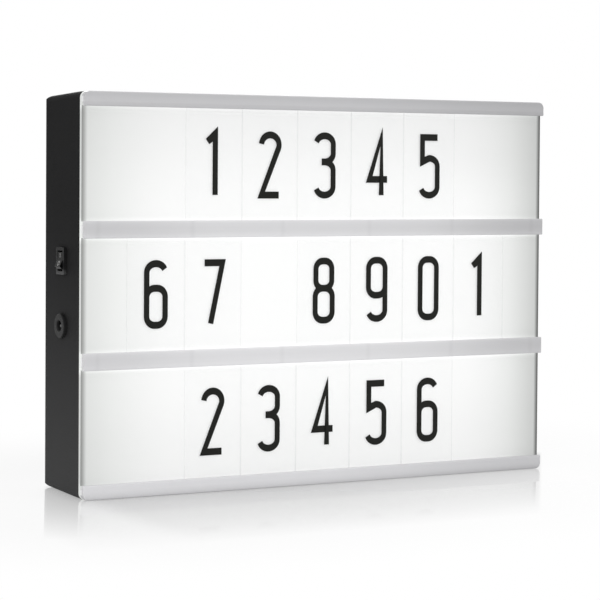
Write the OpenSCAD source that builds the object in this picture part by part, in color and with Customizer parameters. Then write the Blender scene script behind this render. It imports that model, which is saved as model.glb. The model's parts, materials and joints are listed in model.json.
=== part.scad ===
// Cinema light box: a shallow lit case with three tracks that hold clear letter tiles.
// Millimetres. +Z is up, the lit front faces -Y, and z = 0 is the face that it stands on.

/* [Case] */
// Width of the case across the front
case_w = 300; // [290:1:320]
// Height of the case
case_h = 220; // [212:1:240]
// Depth from the front of the rails to the back
case_d = 55; // [53:0.5:64]
// Thickness of the moulded walls
wall = 2.2; // [2:0.1:2.5]
// Radius of the four corners, seen from the front
corner_r = 3.5; // [3:0.1:5]
// Radius of the back edges along the top and the bottom
back_r = 7; // [3:0.1:8]
// Radius of the back edges along the two sides
side_back_r = 4; // [3:0.1:6]
// How far the top and bottom walls lean in towards the back, in degrees
draft = 2.2; // [0:0.1:2.5]
// Height of the two stiffening ribs on the back wall
rib_h = 3; // [2:0.1:4]
// Distance from the side of the case to a stiffening rib
rib_inset = 75; // [70:1:80]
// Thickness of ribs and webs
rib_t = 1.2; // [1:0.1:1.6]

/* [Front panel] */
// Thickness of the opal panel
panel_t = 2.4; // [2:0.1:3]
// Thickness of the skirt that locates the panel inside the walls
skirt_t = 1.4; // [1.2:0.1:2]
// Depth of that skirt
skirt_d = 6; // [5:0.1:8]
// Gap between the skirt and the walls
skirt_gap = 0.2; // [0.1:0.05:0.3]
// How far the snap lugs stand out of the skirt
lug_h = 0.8; // [0.6:0.1:1]
// Length of one snap lug
lug_l = 12; // [8:1:16]

/* [Rails] */
// Height of the top and of the bottom rail
edge_rail_h = 8; // [7:0.1:10]
// Height of each middle rail
mid_rail_h = 9.5; // [8.5:0.1:12]
// Thickness of the lip that holds the tiles in
lip_t = 1.6; // [1.2:0.1:2]
// Clear depth of the track behind the lip
track_d = 1.8; // [1.5:0.1:2.2]
// How far a lip covers the edge of a tile
lip_cover = 2.2; // [1.8:0.1:2.5]
// Radius on the front edges of a rail
rail_edge_r = 0.6; // [0.4:0.1:0.7]
// Diameter of the pegs that fix a rail
peg_d = 2.6; // [2.2:0.1:3]
// Distance from the side of the case to the middle of a rail's last peg
peg_inset = 8.25; // [7:0.25:12]

/* [Tiles] */
// Width of one clear tile
tile_w = 35; // [32:0.5:35.5]
// Thickness of one tile
tile_t = 0.5; // [0.4:0.05:0.8]
// Gap between two tiles side by side
tile_gap = 0.3; // [0.2:0.05:0.6]
// Clearance between a tile and its track
tile_clear = 0.3; // [0.2:0.05:0.5]
// Radius of a tile's corners
tile_r = 1; // [0.5:0.1:3]

/* [Battery bay] */
// Height of the bay's middle above the middle of the case
bay_rise = 0; // [-2:0.5:2]
// Diameter of one cell
cell_d = 14.2; // [13.8:0.1:14.5]
// Length of one cell with its nub
cell_l = 50.5; // [49:0.1:51]
// Gap between two cells
cell_gap = 0.7; // [0.5:0.1:1]
// Clearance between a cell and the bay's floor
cell_clear = 0.3; // [0.2:0.1:0.5]
// Thickness of the bay's floor
bay_floor_t = 1.6; // [1.2:0.1:2]
// Thickness of the bay's walls
bay_wall = 2; // [1.8:0.1:2.4]
// Width of the ledge that the door lies on
ledge_w = 1; // [0.8:0.1:1.2]
// Thickness of the contact plates
contact_t = 0.4; // [0.3:0.05:0.5]
// Width of the contact plates
contact_w = 10.5; // [9:0.1:10.8]
// Height of the bump that meets a cell's nub
bump_h = 0.9; // [0.7:0.1:1.2]
// Length of a contact spring with the cells in
spring_l = 6; // [5.6:0.1:7]
// Radius of a spring's first curl, at the plate
spring_r = 4.2; // [3.9:0.1:4.3]
// Diameter of the spring wire
spring_wire = 0.8; // [0.6:0.05:0.9]

/* [Battery door] */
// Thickness of the door
door_t = 1.8; // [1.5:0.1:2]
// Gap round the door
door_gap = 0.25; // [0.2:0.05:0.4]
// Radius of the door's corners
door_r = 2; // [1.5:0.1:3]
// Clearance between the door and the ledge, and round its tabs
door_clear = 0.1; // [0.05:0.05:0.2]
// Width of the snap tongue
tongue_w = 14; // [12:0.5:18]
// Length of the snap tongue
tongue_l = 13; // [11:0.5:16]
// Width of the slots beside the tongue
tongue_slot = 1; // [0.8:0.1:1.5]
// Width of each lower tab
tab_w = 6; // [5:0.1:6.5]

/* [Lights] */
// Distance from the side of the case to the end of a light board
board_inset = 25; // [22:0.5:27]
// Width of a light board
board_w = 10; // [9:0.5:11]
// Thickness of a light board
board_t = 1.2; // [1:0.1:1.6]
// Distance from the end of a board to the middle of its last lamp
lamp_inset = 25; // [24:0.5:30]
// Side of one lamp
lamp_w = 5; // [4:0.1:5.2]
// Height of one lamp
lamp_h = 1.6; // [1.2:0.1:1.8]
// Thickness of the white reflector
reflector_t = 1; // [0.8:0.1:1.2]
// Gap between the reflector's edge and the walls
reflector_gap = 0.4; // [0.2:0.1:1]
// Distance from the end of a board to the middle of its last screw
screw_inset = 5; // [4:0.5:5.5]
// Outer diameter of the screw bosses
boss_d = 6; // [5.5:0.1:6.4]
// Shank diameter of the board screws
screw_d = 2.2; // [2:0.1:2.5]
// Length of the screw's shank
screw_l = 8; // [7:0.5:10]
// Head diameter of the board screws
screw_head_d = 5; // [4.4:0.1:5.4]

/* [Side fittings] */
// Depth of the switch's and the socket's middle from the middle of the case
side_y = 1; // [0:0.1:2]
// Height of the switch's middle above the middle of the case
switch_rise = 18; // [16:0.5:20]
// Height of the switch's bezel
bezel_h = 15; // [14.6:0.1:16]
// Width of the switch's bezel
bezel_w = 10.5; // [10:0.1:12]
// How far the bezel stands out
bezel_t = 1.5; // [1:0.1:2]
// Width of the rocker
rocker_w = 6.6; // [6:0.1:6.8]
// Radius of the rocker about its pivot
rocker_r = 5.8; // [5.5:0.1:5.9]
// Depth of the rocker's pivot behind the wall's outer face
pivot_d = 2; // [1.8:0.1:2.2]
// Tilt of the rocker each way
rocker_tilt = 12; // [10:0.5:13]
// Depth of the socket's middle below the middle of the case
socket_drop = 17.5; // [16:0.5:18]
// Diameter of the socket's flange
flange_d = 13.5; // [13:0.1:15]
// How far the flange stands out
flange_t = 2; // [1.2:0.1:2.4]
// Diameter of the socket's barrel
barrel_d = 11; // [10.6:0.1:11.4]
// Diameter of the plug hole
plug_d = 5.7; // [5.5:0.1:6]
// Diameter of the centre pin
pin_d = 2; // [1.6:0.1:2.2]
// Depth of the plug hole from the flange's face
plug_depth = 10.5; // [10:0.1:11]
// Width across the flats of the socket's nut
nut_w = 14; // [13:0.1:14.5]
// Thickness of the nut
nut_t = 2.5; // [2:0.1:3]
// How far the terminals reach in from the wall's outer face
terminal_reach = 19; // [18.5:0.1:19.5]

/* [Hanging] */
// Distance between the two keyholes
keyhole_pitch = 200; // [180:1:220]
// Distance from the top of the case to the keyholes' entry
keyhole_drop = 40; // [36:1:44]
// Diameter of the entry
keyhole_d = 8.5; // [8:0.1:9.5]
// Width of the slot above the entry
keyhole_slot = 4.5; // [4:0.1:5]
// Length of the slot, from the entry's middle to its end's middle
keyhole_l = 8; // [7:0.1:10]
// Depth of the pocket for the screw's head
pocket_d = 7; // [5:0.1:8]

/* [Wires] */
// Diameter of a wire with its sleeve
wire_d = 2; // [1.6:0.1:2.2]

/* [Hidden] */
// Roundness of circles, and of small round parts
$fn = 48;
// Overlap that joins two shapes of one piece, and that carries a cut through a face
eps = 0.5;
// Clearance between fitted pieces
fit = 0.1;

// Depth, from the front: lip, track, panel, housing edge, lamps, reflector, bay, back wall
front_y = -case_d / 2;
lip_y = front_y + lip_t;
panel_y = lip_y + track_d;
edge_y = panel_y + panel_t;
draft_y = edge_y + skirt_d + 1;
back_y = case_d / 2;
floor_y = back_y - wall;
door_y = back_y - door_t;
ledge_y = door_y - door_clear;
cell_y = door_y - 0.8 - cell_d / 2;
bay_y = cell_y - cell_d / 2 - cell_clear;
bay_front_y = bay_y - bay_floor_t;
reflector_y = bay_front_y - reflector_t;
board_y = reflector_y - board_t;

// Rows and rails, counted from the top
row_names = ["top", "middle", "bottom"];
row_h = (case_h - 2 * edge_rail_h - 2 * mid_rail_h) / 3;
row_z = [for (r = [0:2]) edge_rail_h + (2 - r) * (row_h + mid_rail_h)];
upper_rail_z = row_z[0] - mid_rail_h;
lower_rail_z = row_z[1] - mid_rail_h;
peg_count = 6;
peg_pitch = (case_w - 2 * peg_inset) / (peg_count - 1);
peg_flare = 0.8;

// Tile slots of each row, and those that hold a tile
slots = [5, 7, 5];
filled = [[0, 1, 2, 3, 4], [0, 1, 3, 4, 5, 6], [0, 1, 2, 3, 4]];
tile_h = row_h + 2 * (lip_cover - tile_clear);

// Battery bay
cell_count = 6;
cell_pitch = cell_d + cell_gap;
bay_w = cell_count * cell_pitch + 0.6;
bay_h = cell_l + spring_l + bump_h + 2 * contact_t;
bay_mid = case_h / 2 + bay_rise;
bay_z = [bay_mid - bay_h / 2, bay_mid + bay_h / 2];
door_w = bay_w + 2 * (ledge_w - door_gap);
door_h = bay_h + 2 * (ledge_w - door_gap);
door_rib_h = 2.4;
door_rib_l = cell_l - 6.5;
tab_x = 2 * cell_pitch;
tab_t = 1.1;
tab_back = floor_y - 0.15;
window_y = floor_y - 2.6;
hook_reach = 0.7;
latch_w = tongue_w - 2;
spring_turns = 3;
spring_top_r = 2.9;
solder_y = cell_y - contact_w / 2;
solder_l = 3;
solder_z = bay_z[0] - bay_wall - solder_l;

// Lights
board_l = case_w - 2 * board_inset;
lamp_count = 6;
lamp_pitch = (board_l - 2 * lamp_inset) / (lamp_count - 1);
board_z = [upper_rail_z + mid_rail_h / 2, lower_rail_z + mid_rail_h / 2];
screw_x = board_l / 2 - screw_inset;
screw_xs = [-screw_x, 0, screw_x];
screw_clear = 0.4;
resistor_gap = 4;
post_inset = 10;

// Panel's snap lugs, and the two ribs on the back wall
lug_y = edge_y + 1.6;
lug_depth = 2.4;
lug_margin = 10;
rib_x = case_w / 2 - rib_inset;
keyhole_z = case_h - keyhole_drop;

// Switch and socket
switch_z = case_h / 2 + switch_rise;
socket_z = case_h / 2 - socket_drop;
switch_depth = 12;
socket_depth = 13;
window_h = 2 * (sqrt(pow(rocker_r, 2) - pow(pivot_d, 2)) + 0.2);
cavity_h = 2 * rocker_r + 0.5;
body_h = cavity_h + 1.1;
body_w = rocker_w + 2;
trunnion_r = 0.8;
switch_pin_z = 3.2;
socket_pin_z = 3;
blade_w = 4.6;
blade_t = 0.7;
nut_r = nut_w / sqrt(3);
notch_x = -case_w / 2 + terminal_reach + 8.5;
notch_z = [socket_z - nut_r - 2.4, switch_z + bezel_h / 2 + 2.5];

function tile_name(r, k) = str("tile_", row_names[r], "_", k + 1);
function corner(inset) = max(corner_r - inset, 0.4);
// How far the top and bottom walls have come in at y
function drawn_in(y) = max(y - draft_y, 0) * tan(draft);
function cell_x(i) = (i - (cell_count - 1) / 2) * cell_pitch;
// Cells stand by turns with the nub up and with the nub down
function nub_up(i) = i % 2 == 0;
function unit(v) = v / norm(v);

// ---- Shapes that repeat ----

// Carry an outline drawn in X and Z along Y
module along_y(y0, y1) {
    translate([0, y1, 0]) rotate([90, 0, 0]) linear_extrude(y1 - y0) children();
}

// Carry an outline drawn in Y and Z along X
module along_x(x0, x1) {
    translate([x0, 0, 0]) rotate([90, 0, 90]) linear_extrude(x1 - x0) children();
}

// Stand on the outside of the left wall at height z: local Z points out, local X up
module on_left(z) {
    translate([-case_w / 2, side_y, z]) rotate([0, -90, 0]) children();
}

module rounded_rect(w, h, r) {
    square([w - 2 * r, h], center = true);
    square([w, h - 2 * r], center = true);
    for (sx = [-1, 1], sy = [-1, 1])
        translate([sx * (w / 2 - r), sy * (h / 2 - r)]) circle(r);
}

// A rectangle from b0 to b1 whose two corners at b1 are round
module half_rounded(w, b0, b1, r) {
    translate([-w / 2, b0]) square([w, b1 - b0 - r]);
    translate([r - w / 2, b0]) square([w - 2 * r, b1 - b0]);
    for (s = [-1, 1])
        translate([s * (w / 2 - r), b1 - r]) circle(r);
}

module case_outline(inset = 0) {
    translate([0, case_h / 2])
        rounded_rect(case_w - 2 * inset, case_h - 2 * inset, corner(inset));
}

// The tub's form: the case outline, with its back edges rounded along all four sides
module tub(inset, y0, y1) {
    intersection() {
        along_y(y0, y1 + 1) case_outline(inset);
        leaning_outline(inset, 0);
        leaning_outline(inset, 1);
        translate([0, 0, -1]) linear_extrude(case_h + 2)
            half_rounded(case_w - 2 * inset, y0 - 1, y1, max(side_back_r - inset, 0.5));
        along_x(-case_w, case_w) tub_side(inset, y0 - 1, y1);
    }
}

// The outline whose upper edge leans in behind draft_y, or whose lower edge does
module leaning_outline(inset, lower) {
    translate([0, 0, case_h / 2]) mirror([0, 0, lower])
        translate([0, draft_y, case_h / 2 - inset]) rotate([-draft, 0, 0])
            translate([0, 0, -case_h]) along_y(-case_d, case_d)
                rounded_rect(case_w - 2 * inset, 2 * case_h, corner(inset));
}

// Side view of the tub, in Y and Z: level up to draft_y, then leaning in to its round back edges
module tub_side(inset, y0, y1) {
    r = max(back_r - inset, 0.5);
    half = case_h / 2 - inset;
    center = [y1 - r, half - drawn_in(y1 - r) - r / cos(draft)];
    touch = center + r * [sin(draft), cos(draft)];
    translate([0, case_h / 2]) for (m = [0, 1]) mirror([0, m]) {
        polygon([[y0, -eps], [y0, half], [draft_y, half], touch, center, [y1, center.y], [y1, -eps]]);
        translate(center) circle(r);
    }
}

function snap_places(total, count) =
    [for (k = [0:count - 1]) total * ((k + 0.5) / count - 0.5)];

// Places of the panel's snap lugs: each turned so that local +Y points out of the case
module at_lugs() {
    half_w = case_w / 2 - wall;
    half_h = case_h / 2 - wall;
    for (x = snap_places(case_w - 2 * lug_margin, 4), s = [0, 180])
        translate([0, 0, case_h / 2]) rotate([0, s, 0]) translate([x, 0, half_h]) children();
    for (z = snap_places(case_h - 2 * lug_margin, 2), s = [90, 270])
        translate([0, 0, case_h / 2]) rotate([0, s, 0]) translate([z, 0, half_w]) children();
}

// ---- Tubes along a path ----

function path_ends(p, first, last) =
    [for (i = [0:len(p) - 1])
        i == 0 ? first : i == len(p) - 1 ? last : unit(p[i + 1] - p[i - 1])];
function any_side(t) = cross(t, abs(t.z) < 0.9 ? [0, 0, 1] : [0, 1, 0]);
// Normals that turn no more than the path does
function side_ways(t, i = 0, out = []) =
    i == len(t) ? out
    : side_ways(t, i + 1, concat(out, [unit(i == 0 ? any_side(t[0])
        : out[i - 1] - (out[i - 1] * t[i]) * t[i])]));

module tube(p, d, sides, first, last) {
    t = path_ends(p, first, last);
    n = side_ways(t);
    last_ring = (len(p) - 1) * sides;
    rings = [for (i = [0:len(p) - 1], k = [0:sides - 1])
        p[i] + d / 2 * (cos(360 * k / sides) * n[i] + sin(360 * k / sides) * cross(t[i], n[i]))];
    skin = [for (i = [0:len(p) - 2], k = [0:sides - 1], half = [0, 1])
        let (a = i * sides + k, b = i * sides + (k + 1) % sides)
        half == 0 ? [a, a + sides, b + sides] : [a, b + sides, b]];
    near_cap = [for (k = [1:sides - 2]) [0, k, k + 1]];
    far_cap = [for (k = [1:sides - 2]) [last_ring, last_ring + k + 1, last_ring + k]];
    polyhedron(rings, concat(skin, near_cap, far_cap));
}

// A smooth way through hand-chosen points, with a ring at least every step
function curve_at(a, b, c, d, u) =
    ((2 * b) + (c - a) * u + (2 * a - 5 * b + 4 * c - d) * u * u
     + (3 * b - a - 3 * c + d) * u * u * u) / 2;
function smooth(p, step) =
    let (last = len(p) - 1)
    concat([for (i = [0:last - 1])
        let (a = i == 0 ? 2 * p[0] - p[1] : p[i - 1], b = p[i], c = p[i + 1],
             d = i + 1 == last ? 2 * p[last] - p[last - 1] : p[i + 2],
             n = max(1, ceil(norm(c - b) / step)))
        for (k = [0:n - 1]) curve_at(a, b, c, d, k / n)], [p[last]]);

module wires(routes) {
    for (r = routes)
        tube(smooth(r, 3 * wire_d), wire_d, 8,
             unit(r[1] - r[0]), unit(r[len(r) - 1] - r[len(r) - 2]));
}

// ---- Housing ----

module screw_boss(x, z) {
    along_y(bay_front_y, floor_y + eps) translate([x, z]) circle(d = boss_d);
    // Two gussets, deepest at the back wall
    for (s = [-1, 1])
        translate([x, 0, z - rib_t / 2]) linear_extrude(rib_t)
            polygon([[0, floor_y + eps], [s * (boss_d / 2 + 4), floor_y + eps],
                     [s * (boss_d / 2 + 4), floor_y], [s * boss_d / 2, bay_front_y + 3],
                     [0, bay_front_y + 3]]);
}

module keyhole_shape() {
    circle(d = keyhole_d);
    translate([0, keyhole_l]) circle(d = keyhole_slot);
    translate([-keyhole_slot / 2, 0]) square([keyhole_slot, keyhole_l]);
}

// The pocket that closes off the inside behind a keyhole
module pocket_shape(grow) {
    w = keyhole_d + 2 + 2 * grow;
    translate([-w / 2, -keyhole_d / 2 - 1 - grow])
        square([w, keyhole_l + keyhole_d + 2 + 2 * grow]);
}

module at_keyholes() {
    for (s = [-1, 1])
        translate([s * keyhole_pitch / 2, 0, keyhole_z]) children();
}

module bay_rect(grow_w, grow_h) {
    translate([0, bay_mid]) square([bay_w + 2 * grow_w, bay_h + 2 * grow_h], center = true);
}

// Ribs between the contact plates at both ends of the bay
module plate_stops() {
    stop_h = 1.6;
    for (i = [0:cell_count - 2]) {
        x = cell_x(i) + cell_pitch / 2;
        z = nub_up(i) ? bay_z[0] - eps : bay_z[1] - stop_h;
        translate([x - rib_t / 2, bay_y - eps, z]) cube([rib_t, 12, stop_h + eps]);
    }
}

// Openings in the bay's end walls: for the two lower tabs, and for the tongue's hook
module bay_windows() {
    for (s = [-1, 1]) {
        x = s * tab_x - tab_w / 2 - 0.4;
        w = tab_w + 0.8;
        translate([x, window_y, bay_z[0] - ledge_w])
            cube([w, ledge_y - window_y + eps, ledge_w + eps]);
        translate([x, window_y, bay_z[0] - bay_wall - eps])
            cube([w, floor_y - window_y, bay_wall + 2 * eps]);
    }
    translate([-latch_w / 2 - 0.4, window_y, bay_z[1] - eps])
        cube([latch_w + 0.8, floor_y - window_y, bay_wall + 2 * eps]);
    translate([-latch_w / 2 - 0.4, window_y, bay_z[1] - eps])
        cube([latch_w + 0.8, ledge_y - window_y + eps, ledge_w + eps]);
    // Slits for the solder tabs of the two end contacts
    for (i = [0, cell_count - 1])
        translate([cell_x(i) - 1.8, solder_y - 0.2, bay_z[0] - bay_wall - eps])
            cube([3.6, contact_t + 0.4, bay_wall + 2 * eps]);
}

module rear_housing() {
    color("#2c2c2d") difference() {
        union() {
            difference() {
                tub(0, edge_y, back_y);
                tub(wall, edge_y - 1, floor_y);
            }
            along_y(bay_front_y, back_y - eps) bay_rect(bay_wall, bay_wall);
            at_keyholes() along_y(floor_y - pocket_d - rib_t, floor_y + eps) pocket_shape(rib_t);
            for (x = screw_xs, z = board_z) screw_boss(x, z);
            for (sx = [-1, 1], z = [post_inset, case_h - post_inset])
                along_y(bay_front_y, floor_y + eps)
                    translate([sx * (case_w / 2 - post_inset), z]) circle(d = boss_d);
            intersection() {
                for (s = [-1, 1])
                    translate([s * rib_x - rib_t / 2, floor_y - rib_h, 0])
                        cube([rib_t, rib_h + eps, case_h]);
                tub(wall / 2, edge_y, back_y);
            }
        }
        // Inside of the bay, and the seat of its door
        difference() {
            along_y(bay_y, back_y + 1) bay_rect(0, 0);
            plate_stops();
        }
        along_y(ledge_y, back_y + 1) translate([0, bay_mid])
            rounded_rect(bay_w + 2 * ledge_w, bay_h + 2 * ledge_w, door_r);
        bay_windows();
        at_keyholes() along_y(floor_y - eps, back_y + 1) keyhole_shape();
        at_keyholes() along_y(floor_y - pocket_d, floor_y + 0.01) pocket_shape(0);
        for (x = screw_xs, z = board_z)
            along_y(bay_front_y - 1, bay_front_y + screw_l)
                translate([x, z]) circle(d = screw_d + fit);
        // Way for the wires through the left rib
        translate([-rib_x - rib_t, floor_y - rib_h - eps, wire_gate_z[0]])
            cube([2 * rib_t, rib_h + eps, wire_gate_z[1] - wire_gate_z[0]]);
        on_left(switch_z) translate([0, 0, -wall - 1]) linear_extrude(wall + 2)
            square([body_h + 2 * fit, body_w + 2 * fit], center = true);
        on_left(socket_z) translate([0, 0, -wall - 1])
            cylinder(d = barrel_d + 2 * fit, h = wall + 2);
        at_lugs() translate([-lug_l / 2 - 0.3, lug_y - 0.2, -eps])
            cube([lug_l + 0.6, lug_depth + 0.4, lug_h - skirt_gap + 0.2 + eps]);
    }
}

// ---- Front ----

module peg_hole(x, z) {
    translate([x, panel_y - 1, z]) rotate([-90, 0, 0]) cylinder(d = peg_d + 2 * fit, h = panel_t + 2);
    translate([x, edge_y - peg_flare, z]) rotate([-90, 0, 0])
        cylinder(d1 = peg_d + 2 * fit, d2 = peg_d + 2 * fit + 2 * (peg_flare + 0.01),
                 h = peg_flare + 0.01);
}

module peg(x, z) {
    translate([x, panel_y - eps, z]) rotate([-90, 0, 0]) cylinder(d = peg_d, h = panel_t + eps - 0.05);
    translate([x, edge_y - peg_flare, z]) rotate([-90, 0, 0])
        cylinder(d1 = peg_d, d2 = peg_d + 2 * (peg_flare - 0.05), h = peg_flare - 0.05);
}

function peg_x(k) = (k - (peg_count - 1) / 2) * peg_pitch;
// Height of a rail's pegs, in the middle of its stem
function stem_z(z, h, low, high) = z + (h + low - high) / 2;
function rail_pegs() = [
    stem_z(case_h - edge_rail_h, edge_rail_h, lip_cover, 0),
    upper_rail_z + mid_rail_h / 2,
    lower_rail_z + mid_rail_h / 2,
    stem_z(0, edge_rail_h, 0, lip_cover)
];

module diffuser_panel() {
    skirt = wall + skirt_gap;
    color("#eef0ee") {
        difference() {
            along_y(panel_y, edge_y) case_outline();
            for (k = [0:peg_count - 1], z = rail_pegs()) peg_hole(peg_x(k), z);
        }
        difference() {
            along_y(edge_y - 0.01, edge_y + skirt_d) case_outline(skirt);
            along_y(edge_y - 1, edge_y + skirt_d + 1) case_outline(skirt + skirt_t);
        }
        // Snap lugs, sloped at the back so that they push in
        at_lugs() translate([-lug_l / 2, 0, 0]) rotate([90, 0, 90]) linear_extrude(lug_l)
            polygon([[lug_y, -skirt_gap - eps], [lug_y, lug_h - skirt_gap],
                     [lug_y + lug_depth / 3, lug_h - skirt_gap],
                     [lug_y + lug_depth, -skirt_gap], [lug_y + lug_depth, -skirt_gap - eps]]);
    }
}

// A rail: a stem on the panel, a lip in front, and a track below and above the stem
module rail(z, h, low, high) {
    color("#e4e4ea") {
        intersection() {
            along_y(front_y - 1, panel_y + 1) case_outline();
            along_x(-case_w / 2, case_w / 2) {
                mirror([1, -1]) mirror([0, 1]) translate([z + h / 2, 0])
                    half_rounded(h, -lip_y, -front_y, rail_edge_r);
                translate([lip_y - 0.01, z + low]) square([track_d + 0.01, h - low - high]);
            }
        }
        for (k = [0:peg_count - 1]) peg(peg_x(k), stem_z(z, h, low, high));
    }
}

module top_rail() rail(case_h - edge_rail_h, edge_rail_h, lip_cover, 0);
module upper_rail() rail(upper_rail_z, mid_rail_h, lip_cover, lip_cover);
module lower_rail() rail(lower_rail_z, mid_rail_h, lip_cover, lip_cover);
module bottom_rail() rail(0, edge_rail_h, 0, lip_cover);

// A clear letter tile in slot i of row r, standing in its track just in front of the panel
module tile(r, i) {
    x = (i - (slots[r] - 1) / 2) * (tile_w + tile_gap);
    y = panel_y - tile_clear;
    color("#f6f8f8", 0.5) along_y(y - tile_t, y)
        translate([x, row_z[r] + row_h / 2]) rounded_rect(tile_w, tile_h, tile_r);
}

// ---- Lights ----

module reflector() {
    edge = wall + reflector_gap;
    color("#f4f4f1") difference() {
        along_y(reflector_y, bay_front_y) translate([0, case_h / 2])
            rounded_rect(case_w - 2 * edge, case_h - 2 * (edge + drawn_in(bay_front_y)), corner(edge));
        for (x = screw_xs, z = board_z)
            along_y(reflector_y - 1, bay_front_y + 1)
                translate([x, z]) circle(d = screw_d + 2 * screw_clear);
        // Notch round the switch, the socket and their wires
        translate([-case_w, reflector_y - 1, notch_z[0]])
            cube([notch_x + case_w, reflector_t + 2, notch_z[1] - notch_z[0]]);
    }
}

module light_board(z) {
    color("#e9ebe4") difference() {
        along_y(board_y, reflector_y) translate([0, z]) rounded_rect(board_l, board_w, 1);
        for (x = screw_xs)
            along_y(board_y - 1, reflector_y + 1)
                translate([x, z]) circle(d = screw_d + 2 * screw_clear);
    }
}

function lamp_x(i) = (i - (lamp_count - 1) / 2) * lamp_pitch;

// Lamps: square packages with a round window sunk into the front
module lamps(z) {
    color("#fff3c8") for (i = [0:lamp_count - 1])
        difference() {
            translate([lamp_x(i) - lamp_w / 2, board_y - lamp_h, z - lamp_w / 2])
                cube([lamp_w, lamp_h, lamp_w]);
            along_y(board_y - lamp_h - 1, board_y - lamp_h + 0.4)
                translate([lamp_x(i), z]) circle(d = 0.76 * lamp_w);
        }
}

// One resistor for each pair of lamps, beside the first of the two
module board_resistors() {
    color("#26262a") for (z = board_z, i = [0:2:lamp_count - 2])
        translate([lamp_x(i) + lamp_w / 2 + resistor_gap, board_y - 0.6, z - 0.8])
            cube([3.2, 0.6, 1.6]);
}

module board_screws() {
    head_h = 1.7;
    cross_d = 0.9;
    color("#b9bcc0") for (x = screw_xs, z = board_z)
        translate([x, board_y, z]) rotate([-90, 0, 0]) {
            difference() {
                translate([0, 0, -head_h])
                    cylinder(d1 = 0.75 * screw_head_d, d2 = screw_head_d, h = head_h);
                for (a = [0, 90])
                    rotate(a) translate([-0.3, -screw_head_d / 4, -head_h - 1])
                        cube([0.6, screw_head_d / 2, cross_d + 1]);
            }
            translate([0, 0, -0.01]) cylinder(d = screw_d, h = screw_l - 1 + 0.01);
            translate([0, 0, screw_l - 1.01]) cylinder(d1 = screw_d, d2 = 0.3 * screw_d, h = 1);
        }
}

// ---- Switch ----

module switch_body() {
    color("#1d1d1f") on_left(switch_z) difference() {
        union() {
            linear_extrude(bezel_t) rounded_rect(bezel_h, bezel_w, 0.8);
            translate([-body_h / 2, -body_w / 2, -switch_depth])
                cube([body_h, body_w, switch_depth + eps]);
            // Snap ramps that hold the body behind the wall
            for (s = [0, 180])
                rotate(s) translate([0, body_w / 4, 0]) rotate([90, 0, 0]) linear_extrude(body_w / 2)
                    polygon([[body_h / 2 - eps, -wall - fit], [body_h / 2 + 0.6, -wall - fit],
                             [body_h / 2, -wall - fit - 3], [body_h / 2 - eps, -wall - fit - 3]]);
        }
        translate([-window_h / 2, -rocker_w / 2 - fit, -eps])
            cube([window_h, rocker_w + 2 * fit, bezel_t + 2 * eps]);
        translate([-cavity_h / 2, -rocker_w / 2 - fit, 2 - switch_depth])
            cube([cavity_h, rocker_w + 2 * fit, switch_depth - 2]);
        translate([0, body_w, -pivot_d]) rotate([90, 0, 0]) cylinder(r = trunnion_r + 0.05, h = 2 * body_w);
        for (s = [-1, 1])
            translate([s * switch_pin_z - blade_t / 2 - 0.05, -blade_w / 2 - 0.05, -switch_depth - 1])
                cube([blade_t + 0.1, blade_w + 0.1, 4]);
    }
}

// The rocker, tipped to the on side: a body of one radius about its pivot, with two flats
module switch_rocker() {
    dish = pivot_d + bezel_t;
    rise = rocker_r * tan(rocker_tilt);
    color("#101012") on_left(switch_z) translate([0, 0, -pivot_d]) rotate([0, rocker_tilt, 0]) {
        rotate([90, 0, 0]) translate([0, 0, -rocker_w / 2]) linear_extrude(rocker_w)
            intersection() {
                circle(rocker_r);
                polygon([[-rocker_r, dish + rise], [0, dish], [rocker_r, dish + rise],
                         [rocker_r, -1.5], [2, -4], [-2, -4], [-rocker_r, -1.5]]);
            }
        translate([0, body_w / 2, 0]) rotate([90, 0, 0]) cylinder(r = trunnion_r, h = body_w);
    }
}

module blade(x) {
    translate([x - blade_t / 2, -blade_w / 2, -terminal_reach]) children();
}

module switch_terminals() {
    color("#c9a85a") on_left(switch_z) for (s = [-1, 1])
        blade(s * switch_pin_z) cube([blade_t, blade_w, terminal_reach - switch_depth + 2]);
}

// ---- Socket ----

module socket_body() {
    color("#1d1d1f") on_left(socket_z) difference() {
        union() {
            cylinder(d = flange_d, h = flange_t - 0.4);
            translate([0, 0, flange_t - 0.4]) cylinder(d1 = flange_d, d2 = flange_d - 0.8, h = 0.4);
            translate([0, 0, -socket_depth]) cylinder(d = barrel_d, h = socket_depth + eps);
        }
        translate([0, 0, flange_t - plug_depth]) cylinder(d = plug_d, h = plug_depth + 1);
        // Countersink at the mouth
        translate([0, 0, flange_t - 0.5]) cylinder(d1 = plug_d, d2 = plug_d + 1.2, h = 0.6);
        translate([0, 0, -socket_depth - 1])
            cylinder(d = pin_d + 0.9, h = socket_depth + flange_t - plug_depth + 2);
        for (s = [-1, 1])
            translate([s * socket_pin_z - blade_t / 2 - 0.05, -blade_w / 2 - 0.05, -socket_depth - 1])
                cube([blade_t + 0.1, blade_w + 0.1, 3]);
    }
}

module socket_nut() {
    color("#3a3a3c") on_left(socket_z) translate([0, 0, -wall - fit - nut_t]) difference() {
        rotate(30) cylinder(r = nut_r, h = nut_t, $fn = 6);
        translate([0, 0, -1]) cylinder(d = barrel_d + fit, h = nut_t + 2);
    }
}

module socket_pin() {
    foot = flange_t - plug_depth;
    tip = 0.4;
    color("#c9c9cc") on_left(socket_z) {
        translate([0, 0, -socket_depth]) cylinder(d = pin_d + 0.8, h = socket_depth + foot);
        translate([0, 0, foot - 0.01]) cylinder(d = pin_d, h = plug_depth - 1 - tip + 0.01);
        translate([0, 0, flange_t - 1 - tip]) cylinder(d1 = pin_d, d2 = pin_d - 2 * tip, h = tip);
    }
}

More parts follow.
